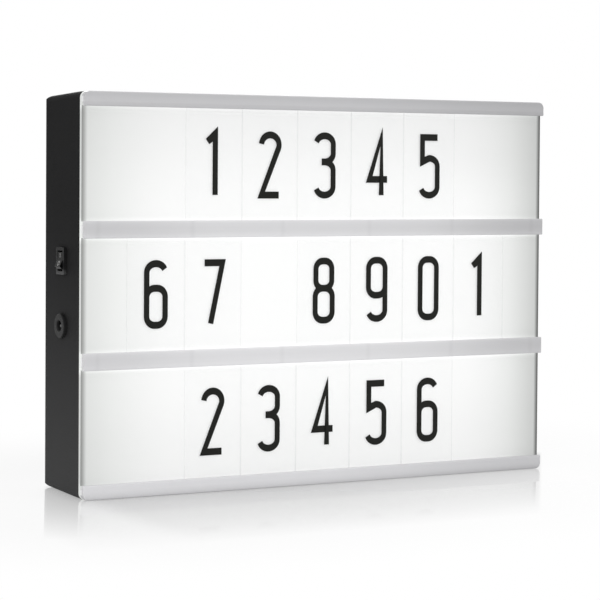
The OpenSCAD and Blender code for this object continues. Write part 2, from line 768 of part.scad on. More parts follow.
module socket_terminals() {
    color("#c9a85a") on_left(socket_z) for (s = [-1, 1])
        blade(s * socket_pin_z) cube([blade_t, blade_w, terminal_reach - socket_depth + 1.9]);
}

// ---- Battery door and cells ----

// The door turns about its outer lower edge
module battery_door() {
    inner_z = [bay_mid - door_h / 2, bay_mid + door_h / 2];
    color("#2c2c2d") difference() {
        union() {
            along_y(door_y, back_y) translate([0, bay_mid]) rounded_rect(door_w, door_h, door_r);
            // Ribs between the cells
            for (i = [0:cell_count - 2])
                translate([cell_x(i) + cell_pitch / 2 - rib_t / 2, door_y - door_rib_h,
                           bay_mid - door_rib_l / 2])
                    cube([rib_t, door_rib_h + eps,
                          i == 2 ? door_rib_l - tongue_l - 5 : door_rib_l]);
            // Lower tabs: in behind the door, then down under the back wall
            for (s = [-1, 1])
                along_x(s * tab_x - tab_w / 2, s * tab_x + tab_w / 2)
                    polygon([[door_y + eps, inner_z[0] + 1], [door_y + eps, inner_z[0] + 2.6],
                             [tab_back - tab_t, inner_z[0] + 2.6], [tab_back - tab_t, inner_z[0] - 2.1],
                             [tab_back, inner_z[0] - 2.1], [tab_back, inner_z[0] + 1]]);
            // Hook at the tongue's end, sloped so that it snaps in
            along_x(-latch_w / 2, latch_w / 2)
                polygon([[door_y + eps, inner_z[1]], [door_y + eps, inner_z[1] - 3],
                         [tab_back - tab_t, inner_z[1] - 1.6], [tab_back - tab_t, inner_z[1] + 0.1],
                         [tab_back - 0.4, inner_z[1] + door_gap + hook_reach],
                         [tab_back, inner_z[1] + door_gap + hook_reach], [tab_back, inner_z[1]]]);
        }
        // Slots beside the tongue, with round ends
        for (s = [-1, 1]) {
            x = s * (tongue_w + tongue_slot) / 2;
            translate([x - tongue_slot / 2, door_y - 1, inner_z[1] - tongue_l])
                cube([tongue_slot, door_t + 2, tongue_l + 1]);
            along_y(door_y - 1, back_y + 1) translate([x, inner_z[1] - tongue_l]) circle(d = tongue_slot);
        }
        // Finger grooves on the tongue
        for (k = [0:3])
            translate([-tongue_w / 2 + 2, back_y - 0.5, inner_z[1] - 2.5 - 2 * k])
                cube([tongue_w - 4, 1, 0.9]);
    }
}

// A cell: a can with a chamfered rim at both ends, and a nub
module cell(i) {
    nub_h = 1;
    can_l = cell_l - nub_h;
    base = nub_up(i) ? bay_z[0] + contact_t + spring_l : bay_z[1] - contact_t - spring_l;
    color(i % 2 == 0 ? "#3d6f9e" : "#3f7f6a") translate([cell_x(i), cell_y, base])
        rotate([nub_up(i) ? 0 : 180, 0, 0]) rotate_extrude()
            polygon([[0, 0], [cell_d / 2 - 1.2, 0], [cell_d / 2 - 0.9, 0.3], [cell_d / 2 - 0.4, 0.3],
                     [cell_d / 2, 0.7], [cell_d / 2, can_l - 1.4], [cell_d / 2 - 0.7, can_l - 0.7],
                     [cell_d / 2 - 1.6, can_l - 0.4], [cell_d / 2 - 2.4, can_l], [2.75, can_l],
                     [2.6, cell_l - 0.2], [2.4, cell_l], [0, cell_l]]);
}

// A contact plate over cells i to j, on the bay's end wall at z, facing s
module contact_plate(i, j, z, s) {
    x0 = cell_x(i) - contact_w / 2;
    x1 = cell_x(j) + contact_w / 2;
    translate([x0, cell_y - contact_w / 2, s > 0 ? z : z - contact_t])
        cube([x1 - x0, contact_w, contact_t]);
    for (k = [i:j])
        if (nub_up(k) == (s < 0))
            translate([cell_x(k), cell_y, z + s * (contact_t - 0.01)]) rotate([s > 0 ? 0 : 180, 0, 0])
                cylinder(d1 = 4.6, d2 = 3, h = bump_h + 0.01);
}

module top_contacts() {
    color("#c4c6c8") for (i = [0:2:cell_count - 2])
        contact_plate(i, i + 1, bay_z[1], -1);
}

module bottom_contacts() {
    color("#c4c6c8") {
        for (i = [1:2:cell_count - 3])
            contact_plate(i, i + 1, bay_z[0], 1);
        // The two end contacts, each with a solder tab down through the wall
        for (i = [0, cell_count - 1]) {
            contact_plate(i, i, bay_z[0], 1);
            translate([cell_x(i) - 1.5, solder_y, bay_z[0] - bay_wall - solder_l])
                cube([3, contact_t, bay_wall + solder_l + contact_t]);
        }
    }
}

// A tapering coil whose two ends stand straight on what they meet
function spring_path(turns, r0, r1, h, d) =
    concat([[r0, 0, 0]],
        [for (k = [0:8 * turns])
            let (u = k / (8 * turns), r = r0 + (r1 - r0) * u)
            [r * cos(360 * turns * u), r * sin(360 * turns * u), d + (h - 2 * d) * u]],
        [[r1, 0, h]]);

module contact_springs() {
    path = spring_path(spring_turns, spring_r, spring_top_r, spring_l, spring_wire);
    color("#c4c6c8") for (i = [0:cell_count - 1])
        translate([cell_x(i), cell_y, nub_up(i) ? bay_z[0] + contact_t : bay_z[1] - contact_t])
            rotate([nub_up(i) ? 0 : 180, 0, 0])
                tube(path, spring_wire, 6, [0, 0, 1], [0, 0, 1]);
}

// ---- Wires, along hand-chosen points ----

// Ends of the blades, solder pads and jumpers on the boards, and the runs along the back wall
inner_x = terminal_reach - case_w / 2;
pad_x = 11 - board_l / 2;
jumper_x = [15 - board_l / 2, 18.5 - board_l / 2];
run_y = floor_y - wire_d / 2 - 0.3;
run_z = [board_z[1] - 12, board_z[1] - 8.5];
wire_gate_z = [run_z[0] - 3.5, run_z[1] + 3.5];

// From the side fittings to a board's pad, which the wire meets from the front
function pad_route(z, s) = [
    [inner_x + 12, board_y - 7.6, z + 9.6 * s], [pad_x, board_y - 9.6, z + 3.6 * s],
    [pad_x, board_y - 5.6, z], [pad_x, board_y, z]];
// From one board to the other: out of a board, round a bend and along
function jumper_half(x, z, s) = [
    [x, board_y, z], [x, board_y - 1.5, z], [x, board_y - 3.3, z - 0.75 * s],
    [x, board_y - 4, z - 2.5 * s], [x, board_y - 4, z - 6 * s], [x, board_y - 4, z - 16 * s]];
function jumper_route(x) =
    let (low = jumper_half(x, board_z[1], -1))
    concat(jumper_half(x, board_z[0], 1), [for (i = [5:-1:0]) low[i]]);
// From a solder tab at x, down to the run at height z on the back wall
function tab_route(x, z) = [
    [x, solder_y + contact_t / 2, solder_z], [x, solder_y + contact_t / 2, solder_z - 3],
    [x - 3, solder_y + 5.5, solder_z - 8], [x - 11, run_y - 0.8, z + 0.6], [x - 22, run_y, z]];

red_routes = [
    // Switch to the upper board
    concat([[inner_x, side_y, switch_z + switch_pin_z],
            [inner_x + 5, side_y, switch_z + switch_pin_z]],
           pad_route(board_z[0], -1)),
    // Upper board to the lower board
    jumper_route(jumper_x[0]),
    // Positive end of the battery to the socket
    concat(tab_route(cell_x(cell_count - 1), run_z[0]),
           [[-cell_pitch, run_y, run_z[0]], [-rib_x, run_y, run_z[0]],
            [inner_x + 13, run_y, run_z[0]], [inner_x + 1, run_y - 1, run_z[0] + 9.5],
            [inner_x, side_y + 15, socket_z - 4.5], [inner_x + 4, side_y + 8, socket_z + 1],
            [inner_x + 4.6, side_y + 3.6, socket_z + 2.8],
            [inner_x + 2.4, side_y + 1.25, socket_z + socket_pin_z],
            [inner_x, side_y + 1.25, socket_z + socket_pin_z]]),
    // Socket to the switch
    [[inner_x, side_y - 1.25, socket_z + socket_pin_z],
     [inner_x + 3.2, side_y - 1.25, socket_z + socket_pin_z],
     [inner_x + 6.2, side_y - 1.6, socket_z + 6.2], [inner_x + 7, side_y - 1, socket_z + 12],
     [inner_x + 7, side_y, switch_z - 12], [inner_x + 6.2, side_y, switch_z - 6.4],
     [inner_x + 3.2, side_y, switch_z - switch_pin_z], [inner_x, side_y, switch_z - switch_pin_z]]
];
black_routes = [
    // Socket to the lower board
    concat([[inner_x, side_y - 1.25, socket_z - socket_pin_z],
            [inner_x + 4, side_y - 1.25, socket_z - socket_pin_z]],
           pad_route(board_z[1], 1)),
    // Upper board to the lower board
    jumper_route(jumper_x[1]),
    // Negative end of the battery to the socket
    concat(tab_route(cell_x(0), run_z[1]),
           [[-rib_x, run_y, run_z[1]], [inner_x + 17, run_y, run_z[1]],
            [inner_x + 9, run_y - 0.6, run_z[1] + 2], [inner_x + 4, run_y - 3.5, run_z[1] + 7.5],
            [inner_x + 4, side_y + 11, socket_z - 9.5], [inner_x + 5.5, side_y + 5, socket_z - 5],
            [inner_x + 4.4, side_y + 2.4, socket_z - 3.4],
            [inner_x + 2.2, side_y + 1.25, socket_z - socket_pin_z],
            [inner_x, side_y + 1.25, socket_z - socket_pin_z]])
];

module red_wires() color("#a8221c") wires(red_routes);
module black_wires() color("#18181a") wires(black_routes);

// Least gap between two curls of a contact spring, measured on the points of its path
spring_points = spring_path(spring_turns, spring_r, spring_top_r, spring_l, spring_wire);
spring_least_gap = min([for (i = [0:len(spring_points) - 1], j = [i + 5:1:len(spring_points) - 1])
    norm(spring_points[i] - spring_points[j])]) - spring_wire;
echo(spring_least_gap = spring_least_gap);

rear_housing();
diffuser_panel();
top_rail();
upper_rail();
lower_rail();
bottom_rail();
for (r = [0:2], k = [0:len(filled[r]) - 1])
    tile(r, filled[r][k]);
reflector();
light_board(board_z[0]);  // upper_light_board
light_board(board_z[1]);  // lower_light_board
lamps(board_z[0]);  // upper_lamps
lamps(board_z[1]);  // lower_lamps
board_resistors();
board_screws();
switch_body();
switch_rocker();
switch_terminals();
socket_body();
socket_nut();
socket_pin();
socket_terminals();
battery_door();
for (i = [1:cell_count])
    cell(i - 1);
top_contacts();
bottom_contacts();
contact_springs();
red_wires();
black_wires();
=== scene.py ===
import bpy
import json
import math
import numpy as np
from mathutils import Matrix, Vector


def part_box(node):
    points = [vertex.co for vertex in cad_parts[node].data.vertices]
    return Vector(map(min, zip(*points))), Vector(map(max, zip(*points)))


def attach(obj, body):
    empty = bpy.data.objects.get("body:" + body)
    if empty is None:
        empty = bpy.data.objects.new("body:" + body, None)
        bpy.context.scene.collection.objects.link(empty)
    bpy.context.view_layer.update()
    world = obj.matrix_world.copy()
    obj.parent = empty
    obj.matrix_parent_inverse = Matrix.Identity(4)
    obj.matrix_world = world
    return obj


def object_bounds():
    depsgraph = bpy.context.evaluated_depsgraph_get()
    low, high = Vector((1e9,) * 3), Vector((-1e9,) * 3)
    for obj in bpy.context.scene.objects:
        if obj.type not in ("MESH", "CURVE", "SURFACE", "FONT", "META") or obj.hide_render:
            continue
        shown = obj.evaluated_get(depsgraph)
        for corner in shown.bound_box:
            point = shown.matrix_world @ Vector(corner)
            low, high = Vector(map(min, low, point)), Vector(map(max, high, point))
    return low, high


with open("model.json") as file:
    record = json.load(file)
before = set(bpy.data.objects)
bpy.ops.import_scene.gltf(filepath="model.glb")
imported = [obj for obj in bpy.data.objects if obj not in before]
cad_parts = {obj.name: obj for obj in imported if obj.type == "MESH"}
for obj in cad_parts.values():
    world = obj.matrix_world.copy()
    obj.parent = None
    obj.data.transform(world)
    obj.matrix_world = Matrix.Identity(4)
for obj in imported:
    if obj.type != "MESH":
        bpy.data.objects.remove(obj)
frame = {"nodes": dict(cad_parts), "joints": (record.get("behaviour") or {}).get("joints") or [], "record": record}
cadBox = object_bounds()
nodes = frame["nodes"]
rowNames = ("top", "middle", "bottom")
print("frame loaded:", len(nodes), "nodes")

# What several finishes go by, in metres: the panel's outline, the lower and upper edge of each rail from
# the bottom up, and the lamps, whose two rows lie behind the middles of the inner rails
low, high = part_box("diffuser_panel")
railFaces = []
for rail in ("bottom_rail", "lower_rail", "upper_rail", "top_rail"):
    under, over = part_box(rail)
    railFaces.append((under.z, over.z))
boxFront = {"wide": high.x - low.x, "half": high.x, "tall": high.z, "middle": high.z / 2, "y": cadBox[0][1],
            "lampOff": sum(railFaces[2]) / 2 - high.z / 2, "lampPitch": 0.04}

# Where the photograph was taken from, in metres and degrees
view = {
    "place": (-0.63609, -1.12041, 0.17635), "yaw": 29.52, "down": 1.6593, "roll": 0.3862,
    "lens": 133.689, "sensor": 36, "shiftY": -0.10277, "nearest": 0.05, "farthest": 50,
}


# Forward turns by yaw about Z and by the pitch down; right and up are then rolled about it
def makeCamera(s):
    yaw, down, roll = (math.radians(s[k]) for k in ("yaw", "down", "roll"))
    forward = Vector((math.sin(yaw) * math.cos(down), math.cos(yaw) * math.cos(down), -math.sin(down)))
    flat = Vector((math.cos(yaw), -math.sin(yaw), 0))
    lift = flat.cross(forward)
    right = math.cos(roll) * flat + math.sin(roll) * lift
    up = -math.sin(roll) * flat + math.cos(roll) * lift
    data = bpy.data.cameras.new("camera")
    data.lens, data.sensor_width, data.shift_y = s["lens"], s["sensor"], s["shiftY"]
    data.clip_start, data.clip_end = s["nearest"], s["farthest"]
    camera = bpy.data.objects.new("camera", data)
    bpy.context.scene.collection.objects.link(camera)
    turn = Matrix((right, up, -forward)).transposed().to_4x4()
    camera.matrix_world = Matrix.Translation(s["place"]) @ turn
    bpy.context.scene.camera = camera


makeCamera(view)
print("camera set")


# Wraps a socket, so that an expression on values adds its Math nodes
class Value:
    def __init__(self, paint, socket):
        self.paint, self.socket = paint, socket

    def math(self, operation, *sides):
        return self.paint.node("ShaderNodeMath", {"operation": operation}, dict(enumerate(sides)))

    def __add__(self, other):
        return self.math("ADD", self, other)

    def __radd__(self, other):
        return self.math("ADD", other, self)

    def __sub__(self, other):
        return self.math("SUBTRACT", self, other)

    def __rsub__(self, other):
        return self.math("SUBTRACT", other, self)

    def __mul__(self, other):
        return self.math("MULTIPLY", self, other)

    def __rmul__(self, other):
        return self.math("MULTIPLY", other, self)

    def __truediv__(self, other):
        return self.math("DIVIDE", self, other)

    def __rtruediv__(self, other):
        return self.math("DIVIDE", other, self)

    def __pow__(self, other):
        return self.math("POWER", self, other)

    def __abs__(self):
        return self.math("ABSOLUTE", self)

    def low(self, other):
        return self.math("MINIMUM", self, other)

    def high(self, other):
        return self.math("MAXIMUM", self, other)

    def fraction(self):
        return self.math("FRACT", self)

    # 0 below start, 1 past end, smooth between; start may be the larger
    def step(self, start, end):
        return self.paint.node("ShaderNodeMapRange", {"interpolation_type": "SMOOTHSTEP"},
                               {"Value": self, "From Min": start, "From Max": end})

    # 1 within half of middle, 0 outside it, over a soft edge
    def band(self, middle, half, soft):
        return abs(self - middle).step(half + soft, half)


# A material in the making
class Paint:
    def __init__(self, name):
        self.material = bpy.data.materials.new(name)
        self.material.use_nodes = True
        self.tree = self.material.node_tree
        self.tree.nodes.clear()

    # A node of any type: its settings come first, then the values or links of its sockets
    def node(self, kind, settings=None, sockets=None, out=0):
        made = self.tree.nodes.new(kind)
        for key, value in (settings or {}).items():
            if key == "stops":
                self.fill(made.color_ramp, value)
            elif key == "interpolation":
                made.color_ramp.interpolation = value
            else:
                setattr(made, key, value)
        for key, value in (sockets or {}).items():
            if isinstance(value, Value):
                self.tree.links.new(value.socket, made.inputs[key])
            elif isinstance(value, tuple) and made.inputs[key].type == "RGBA":
                made.inputs[key].default_value = (*value[:3], 1)
            else:
                made.inputs[key].default_value = value
        return Value(self, made.outputs[out])

    # All places go in before the greys, because a ramp sorts its stops
    def fill(self, ramp, stops):
        while len(ramp.elements) < len(stops):
            ramp.elements.new(0.5)
        for element, (place, level) in zip(ramp.elements, stops):
            element.position = place
        for element, (place, level) in zip(ramp.elements, stops):
            element.color = (level, level, level, 1)

    def place(self):
        return self.node("ShaderNodeTexCoord", out="Object")

    def axes(self):
        place = self.place()
        return [self.node("ShaderNodeSeparateXYZ", None, {0: place}, out=k) for k in range(3)]

    def noise(self, scale, detail=2, stretch=(1, 1, 1)):
        where = self.node("ShaderNodeMapping", None, {"Vector": self.place(), "Scale": stretch})
        return self.node("ShaderNodeTexNoise", None, {"Vector": where, "Scale": scale, "Detail": detail})

    def cells(self, scale):
        sockets = {"Vector": self.place(), "Scale": scale}
        return self.node("ShaderNodeTexVoronoi", None, sockets, out="Distance")

    def mix(self, factor, a, b):
        return self.node("ShaderNodeMix", {"data_type": "RGBA"}, {0: factor, 6: a, 7: b}, out=2)

    def ramp(self, value, stops, interpolation="B_SPLINE"):
        return self.node("ShaderNodeValToRGB", {"interpolation": interpolation, "stops": stops}, {0: value})

    # Relief from a height; edge rounds the shading over the mesh's edges by that radius first
    def bump(self, height, depth, strength, edge=None):
        sockets = {"Height": height, "Distance": depth, "Strength": strength}
        if edge:
            sockets["Normal"] = self.node("ShaderNodeBevel", {"samples": 6}, {"Radius": edge})
        return self.node("ShaderNodeBump", None, sockets)

    def output(self, shader):
        end = self.tree.nodes.new("ShaderNodeOutputMaterial")
        self.tree.links.new(shader.socket, end.inputs["Surface"])
        return self.material

    def finish(self, sockets):
        return self.output(self.node("ShaderNodeBsdfPrincipled", None, sockets))


caseFinish = {
    "color": (0.0087, 0.0087, 0.0091), "paintedLight": (0.055, 0.055, 0.0556), "rough": 0.6, "shine": 0.05,
    "edge": 0.0004, "grain": 2300,
    "fineScale": 2.2, "fine": 0.6, "grainRough": 0.05, "relief": 0.00006, "strength": 0.7,
    "patch": 9, "patchRough": 0.12, "patchLight": 0.3,
    # share of painted light up the front's height: paler towards the floor, where the floor's light falls
    "paintedLightShare": ((0.0, 1.0), (0.1, 0.87), (0.2, 0.72), (0.33, 0.46), (0.45, 0.24), (0.57, 0.08), (0.7, 0.0)),
}
doorFinish = dict(caseFinish, rough=0.55)
# painted light on the lower end of the bezel, and thinly on the socket, paler towards its lower side
switchFinish = dict(caseFinish, color=(0.008, 0.008, 0.0083), paintedLight=(0.075, 0.075, 0.076), rough=0.34,
                    grain=4200, paintedLightShare=((0.0, 1.0), (0.549, 1.0), (0.5575, 0.7), (0.562, 0.0)))
socketFinish = dict(switchFinish, color=(0.013, 0.013, 0.0134), paintedLight=(0.03, 0.03, 0.03), rough=0.3,
                    shine=0.06, edge=0.0005, paintedLightShare=((0.0, 1.0), (0.38, 1.0), (0.44, 0.0)))


# Moulded black: spark grain of cells and finer noise as relief, slow patches of gloss, and a painted light,
# paler lower down where light from the floor falls, whose share is the ramp's at that height, more or less by the
# patch
def blackPlastic(name, s):
    p = Paint(name)
    x, y, z = p.axes()
    grain = p.cells(s["grain"]) + s["fine"] * p.noise(s["grain"] * s["fineScale"], 3)
    patches = p.noise(s["patch"], 3) - 0.5
    # painted light: a paler colour lower down, where more light falls
    paintedLight = p.ramp(z / boxFront["tall"], s["paintedLightShare"]) * (1 + s["patchLight"] * patches)
    return p.finish({"Base Color": p.mix(paintedLight, s["color"], s["paintedLight"]),
                     "Roughness": s["rough"] + s["patchRough"] * patches + s["grainRough"] * grain,
                     "Specular IOR Level": s["shine"],
                     "Normal": p.bump(grain, s["relief"], s["strength"], s["edge"])})


panelFinish = {
    "base": (0.46, 0.465, 0.46), "cloudy": (0.4, 0.41, 0.4), "walled": (0.08, 0.082, 0.08),
    "cloud": 60, "cloudShare": 0.06, "rough": 0.42, "shine": 0.3,
    "grain": 5200, "relief": 0.00002, "strength": 0.35,
    # brightness across the width and up the height, from the lamps behind
    "across": ((0.0, 0.55), (0.02, 0.64), (0.06, 0.77), (0.12, 0.90), (0.18, 0.97), (0.3, 1.0), (0.7, 1.0),
               (0.82, 0.975), (0.88, 0.88), (0.93, 0.73), (0.97, 0.46), (1.0, 0.28)),
    "upwards": ((0.0, 0.80), (0.14, 0.885), (0.25, 0.975), (0.34, 1.0), (0.5, 0.985), (0.66, 1.0),
                (0.75, 0.97), (0.86, 0.87), (1.0, 0.76)),
    "glow": 0.575, "middle": (1, 1, 1), "sides": (0.975, 1.0, 0.973), "sidesX": (0.1, 0.15),
    "corner": 0.09, "cornerX": (0.03, 0.145), "cornerZ": (0.15, 0.19),  # the upper right is duller
    "faceY": (-0.0238, -0.02405), "barePast": (-0.0006, 0.0),  # only the front face, off the rails, dims
    "leftWall": 0.66, "leftX": (-0.1462, -0.15), "rightWall": 0.93, "rightX": (0.1468, 0.1497),
    "line": 0.18, "reach": 0.005, "outerLess": 0.5, "outerZ": (0.05, 0.09),
    "under": 0.16, "shelter": 0.0034, "lipZ": (0.0003, 0.0),
}


# Opal sheet: the glow is the product of one course across and one upwards. It dims over the housing's
# wall behind, softly on the left and hard on the right, and brightens towards the rails by the fourth
# power of the nearness, less so at the two outer ones. Straight under a lip it brightens once more
def opalPanel(s):
    p = Paint("opalPanel")
    x, y, z = p.axes()
    off = abs(z - boxFront["middle"])
    halfRail = (railFaces[2][1] - railFaces[2][0]) / 2
    outer = railFaces[3][0] - boxFront["middle"]
    gap = (abs(off - boxFront["lampOff"]) - halfRail).low(outer - off)  # from the nearest rail's edge
    wall = x.step(*s["leftX"]) * s["leftWall"] + x.step(*s["rightX"]) * s["rightWall"]
    wall = y.step(*s["faceY"]) * wall * gap.step(*s["barePast"])
    line = (1 - gap.high(0) / s["reach"]).high(0) ** 4 * (1 - s["outerLess"] * off.step(*s["outerZ"]))
    below = sum(((z - lip) / s["shelter"] + 1).high(0) * (z - lip).step(*s["lipZ"])
                for lip, top in railFaces[1:])
    dull = 1 - s["corner"] * x.step(*s["cornerX"]) * z.step(*s["cornerZ"])
    across = p.ramp(x / boxFront["wide"] + 0.5, s["across"])
    upwards = p.ramp(z / boxFront["tall"], s["upwards"]) * dull
    level = (across * upwards * s["glow"] + line * s["line"] + below * s["under"]) * (1 - wall)
    tint = p.mix(abs(x).step(*s["sidesX"]), s["middle"], s["sides"])
    cloud = p.noise(s["cloud"]) * s["cloudShare"]
    return p.finish({"Base Color": p.mix(cloud, p.mix(wall, s["base"], s["walled"]), s["cloudy"]),
                     "Roughness": s["rough"] + cloud, "Specular IOR Level": s["shine"],
                     "Emission Color": p.mix(level, (0, 0, 0), tint), "Emission Strength": 1.0,
                     "Normal": p.bump(p.noise(s["grain"]), s["relief"], s["strength"])})


railFinish = {
    "base": (0.597, 0.595, 0.609), "deep": (0.50, 0.498, 0.512), "streak": 900, "along": (0.01, 1, 1),
    "streakShare": 0.2, "rough": 0.33, "streakRough": 0.1, "shine": 0.3,
    "relief": 0.00003, "strength": 0.4, "edge": 0.0003,
    # shade up each rail's face, from its lower to its upper edge
    "shades": (((0.0, 0.9), (0.15, 1.07), (0.3, 1.17), (0.5, 1.25), (0.75, 1.27), (1.0, 1.3)),
               ((0.0, 1.12), (0.12, 1.14), (0.35, 1.09), (0.6, 1.06), (0.85, 1.09), (1.0, 1.2)),
               ((0.0, 1.12), (0.15, 1.06), (0.35, 0.98), (0.6, 0.96), (0.85, 1.0), (1.0, 1.12)),
               ((0.0, 0.95), (0.1, 0.94), (0.2, 0.93), (0.35, 1.02), (0.6, 0.98), (0.88, 0.92), (1.0, 1.08))),
    "across": ((0.0, 1.02), (0.5, 1.0), (0.7, 0.94), (0.9, 0.82), (1.0, 0.79)),
    "faceY": (-0.0262, -0.0272),
    "pegPitch": 0.0567, "pegSpot": (0.045, 0.0), "pegShare": 0.3,  # six pegs, half a pitch off the middle
    "lampHalf": 0.005, "lampSoft": 0.003, "glow": 0.10, "glowX": (0.15, 0.06), "rest": 0.05,
    "cutX": (0.14985, 0.15), "cutGlow": 0.3, "lipDull": 0.75, "lipY": (-0.0256, -0.0262),
}


# Milky extrusion: long drawn streaks, shades up each face and across, a faint spot over each peg, and a
# glow where the lamps are behind; the cut ends are brighter, but not the lip's own
def opalRail(s):
    p = Paint("opalRail")
    x, y, z = p.axes()
    streak = p.noise(s["streak"], stretch=s["along"])
    face = y.step(*s["faceY"])
    # a ramp holds greys up to 1, so the shades go in halved
    stops = [((low + t * (high - low)) / boxFront["tall"], shade / 2)
             for (low, high), shades in zip(railFaces, s["shades"]) for t, shade in shades]
    across = p.ramp(x / boxFront["wide"] + 0.5, s["across"])
    shade = 1 + face * (p.ramp(z / boxFront["tall"], stops, "LINEAR") * across * 2 - 1)
    lamps = abs(z - boxFront["middle"]).band(boxFront["lampOff"], s["lampHalf"], s["lampSoft"])
    peg = abs((x / s["pegPitch"]).fraction() - 0.5).step(*s["pegSpot"]) * face * lamps
    cut = abs(x).step(*s["cutX"]) * (1 - s["lipDull"] * y.step(*s["lipY"]))
    level = lamps * (abs(x).step(*s["glowX"]) * s["glow"] + s["rest"]) * face + cut * s["cutGlow"]
    base = p.mix(streak * s["streakShare"] + peg * s["pegShare"], s["base"], s["deep"])
    color = p.node("ShaderNodeVectorMath", {"operation": "SCALE"}, {"Vector": base, "Scale": shade})
    return p.finish({"Base Color": color, "Roughness": s["rough"] + s["streakRough"] * streak,
                     "Specular IOR Level": s["shine"],
                     "Emission Color": p.mix(level, (0, 0, 0), (1, 1, 1)), "Emission Strength": 1.0,
                     "Normal": p.bump(streak, s["relief"], s["strength"], s["edge"])})


tileFinish = {
    "color": (0.95, 0.96, 0.96), "rimColor": (0.52, 0.53, 0.54), "rimWide": 0.00035, "rimSharp": 0.00005,
    "film": 0.03, "rim": 0.06, "smear": 35, "smearFilm": 0.01, "rough": 0.06, "smearRough": 0.08,
    "wave": 70, "relief": 0.00003, "strength": 0.2,
}


# Clear film: almost nothing on its face, and a denser line where its cut edge catches the light
def clearFilm(s):
    p = Paint("clearFilm")
    x, y, z = p.axes()
    low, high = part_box("tile_top_1")
    pitch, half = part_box("tile_top_2")[0].x - low.x, (high.x - low.x) / 2
    fromMiddle = abs((x / pitch + 0.5).fraction() - 0.5) * pitch
    rim = fromMiddle.step(half - s["rimWide"], half - s["rimSharp"])
    smear = p.noise(s["smear"], 3)
    return p.finish({"Base Color": p.mix(rim, s["color"], s["rimColor"]),
                     "Roughness": s["rough"] + s["smearRough"] * smear,
                     "Alpha": s["film"] + s["smearFilm"] * smear + rim * s["rim"],
                     "Normal": p.bump(p.noise(s["wave"], 1), s["relief"], s["strength"])})


# Numerals are strokes of ink on the tiles. Proportions are shares of the pen path's half width or
# height, and angles are in degrees
strokeShape = {
    "quarter": 9, "most": 13, "bow": 19,  # points on an arc, from a right angle to the widest
    "corner": 0.85,
    "oneFlag": 0.75, "oneStem": 0.12, "twoFrom": 175, "twoTo": -30,
    "threeFrom": 165, "threeWaist": 0.06, "threeUpper": 0.35, "threeLower": 0.1,
    "fourStem": 0.45, "fourBar": 0.27, "fourBreak": 0.3, "fourEnd": 1.15,
    "fiveLeft": 0.85, "fiveNeck": 0.08, "fiveBow": 0.14,
    "sixFrom": 20, "sixSide": 0.1, "sevenFoot": 0.3, "eightWaist": 0.04, "eightUpper": 0.93,
}
numeralFinish = {
    "height": 0.0376, "width": 0.0145, "acrossPen": 0.00165, "alongPen": 0.00195,
    "proud": 0.00004, "sunk": 0.00001, "layer": 0.00001,  # a later stroke lies over an earlier one
    "base": (0.0085, 0.0088, 0.0068), "worn": (0.016, 0.0165, 0.0148), "shine": 0.12,
    "spot": 1400, "spotShare": 0.5, "edge": 160, "edgeShare": 0.3, "rough": 0.38, "spotRough": 0.15,
    "relief": 0.00001, "strength": 0.4,
}
shown = {"top": "12345", "middle": "678901", "bottom": "23456"}


# Points on an ellipse about c, from angle a to angle b in degrees
def arc(c, rx, rz, a, b, count):
    t = np.radians(np.linspace(a, b, count))
    return np.stack([c[0] + rx * np.cos(t), c[1] + rz * np.sin(t)], 1)


def straight(*places):
    return np.array(places, float).reshape(-1, 2)


# Four quarter arcs about the corners of a box that reaches w to each side, and from low to high
def roundBox(w, low, high, r):
    corners = ((w - r, high - r), (r - w, high - r), (r - w, low + r), (w - r, low + r))
    count = strokeShape["quarter"]
    return np.vstack([arc(c, r, r, 90 * k, 90 * k + 90, count) for k, c in enumerate(corners)])


# Strokes of a numeral, each a path and whether it closes, for a pen path of half width w and height h about 0
def strokesOf(digit, w, h, s):
    r = s["corner"] * w
    top, low = h / 2, -h / 2
    quarter, most = s["quarter"], s["most"]
    if digit == "0":
        return [(roundBox(w, low, top, r), True)]
    if digit == "1":
        stem = s["oneStem"] * w
        return [(straight(-s["oneFlag"] * w, top - s["oneFlag"] * w, stem, top, stem, low), False)]
    if digit == "2":
        bow = arc((0, top - w), w, w, s["twoFrom"], s["twoTo"], s["bow"])
        return [(np.vstack([bow, straight(-w, low, w, low)]), False)]
    if digit == "3":
        waist = s["threeWaist"] * h
        upper = np.vstack([arc((0, top - r), w, r, s["threeFrom"], 0, most),
                           arc((0, waist + r), w, r, 0, -90, quarter), straight(-s["threeUpper"] * w, waist)])
        lower = np.vstack([straight(-s["threeLower"] * w, waist), arc((0, waist - r), w, r, 90, 0, quarter),
                           arc((0, low + r), w, r, 0, -s["threeFrom"], most)])
        return [(upper, False), (lower, False)]
    if digit == "4":
        stem, bar, gap = s["fourStem"] * w, low + s["fourBar"] * h, s["fourBreak"] * w
        return [(straight(stem, low, stem, top, -w, bar, gap, bar), False),
                (straight(gap, bar, s["fourEnd"] * w, bar), False)]
    if digit == "5":
        left = -s["fiveLeft"] * w
        return [(np.vstack([straight(w, top, left, top, left, s["fiveNeck"] * h),
                            arc((0, s["fiveBow"] * h - r), w, r, 90, 0, quarter),
                            arc((0, low + r), w, r, 0, -s["threeFrom"], most)]), False)]
    if digit in "69":
        turn = 1 if digit == "6" else -1
        side = s["sixSide"] * h
        hook = np.vstack([arc((0, top - r), w, r, s["sixFrom"], 180, most), straight(-w, -side)])
        return [(hook * turn, False), (roundBox(w, low, side, r) * turn, True)]
    if digit == "7":
        return [(straight(-w, top, w, top, -s["sevenFoot"] * w, low), False)]
    waist, narrow = s["eightWaist"] * h, s["eightUpper"] * w
    return [(roundBox(narrow, waist, top, s["corner"] * narrow), True), (roundBox(w, low, waist, r), True)]


ribbonShape = {"least": 1e-6, "sharpest": 0.35, "bevel": 0.95, "shoulder": 0.6}


